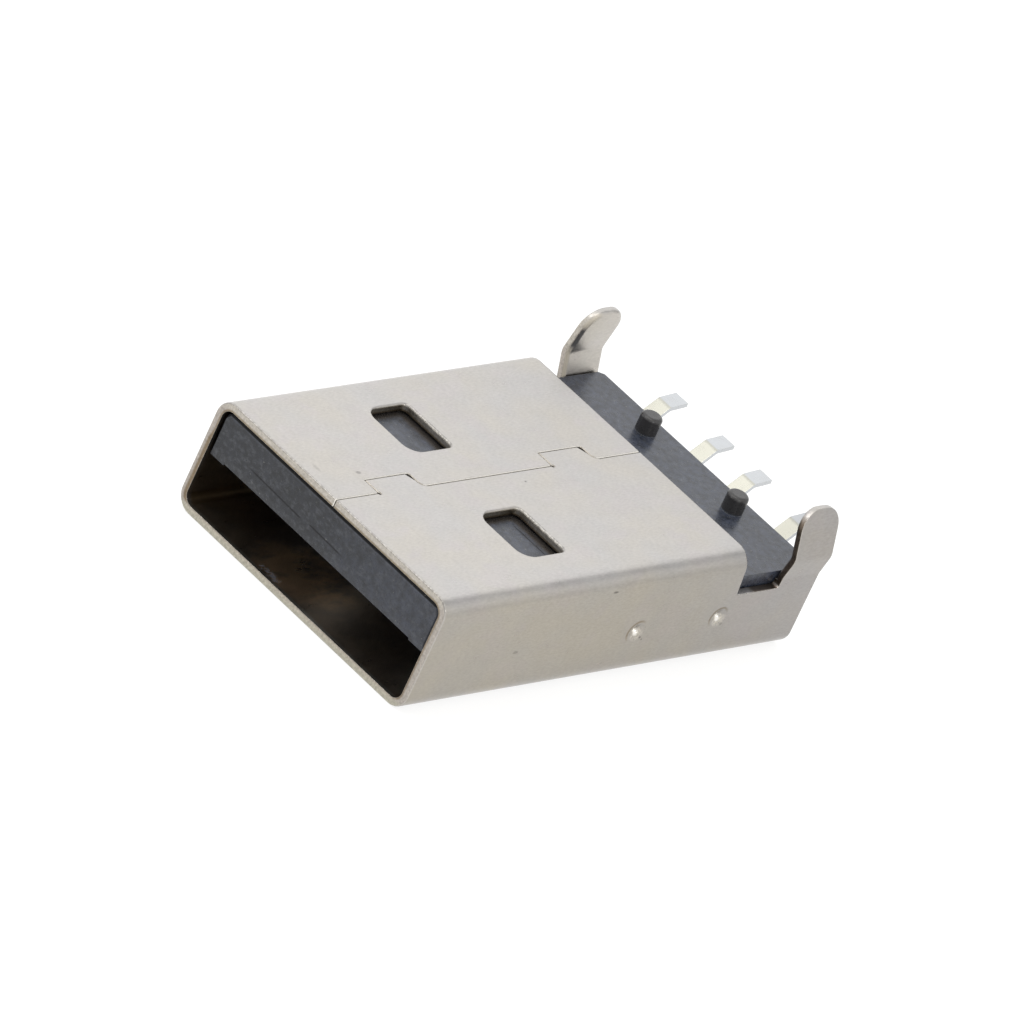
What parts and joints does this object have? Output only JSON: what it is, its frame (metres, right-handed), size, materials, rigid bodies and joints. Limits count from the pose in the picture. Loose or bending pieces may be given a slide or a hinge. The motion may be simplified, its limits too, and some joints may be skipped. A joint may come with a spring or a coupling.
{
  "type": "usb type-a plug",
  "caption": "Plug with a folded metal shell, latch holes, a dark tongue and sprung contacts, which stands on a board edge by its legs, pegs and solder feet.",
  "frame": {"origin": "centre of the mouth, on the plane of the shell's front edge", "axes": "+X across the plug, +Y from the mouth to the solder feet, +Z from the closed floor to the board side with the legs"},
  "size_m": [0.0125, 0.0213, 0.006],
  "materials": {
    "shell": "satin nickel plating",
    "housing": "moulded, slightly glossy",
    "contacts": "bright tin plating"
  },
  "bodies": {
    "root": {"shell": "shell", "housing": "housing", "vbus_contact": "contacts", "data_minus_contact": "contacts", "data_plus_contact": "contacts", "ground_contact": "contacts"}
  },
  "joints": []
}
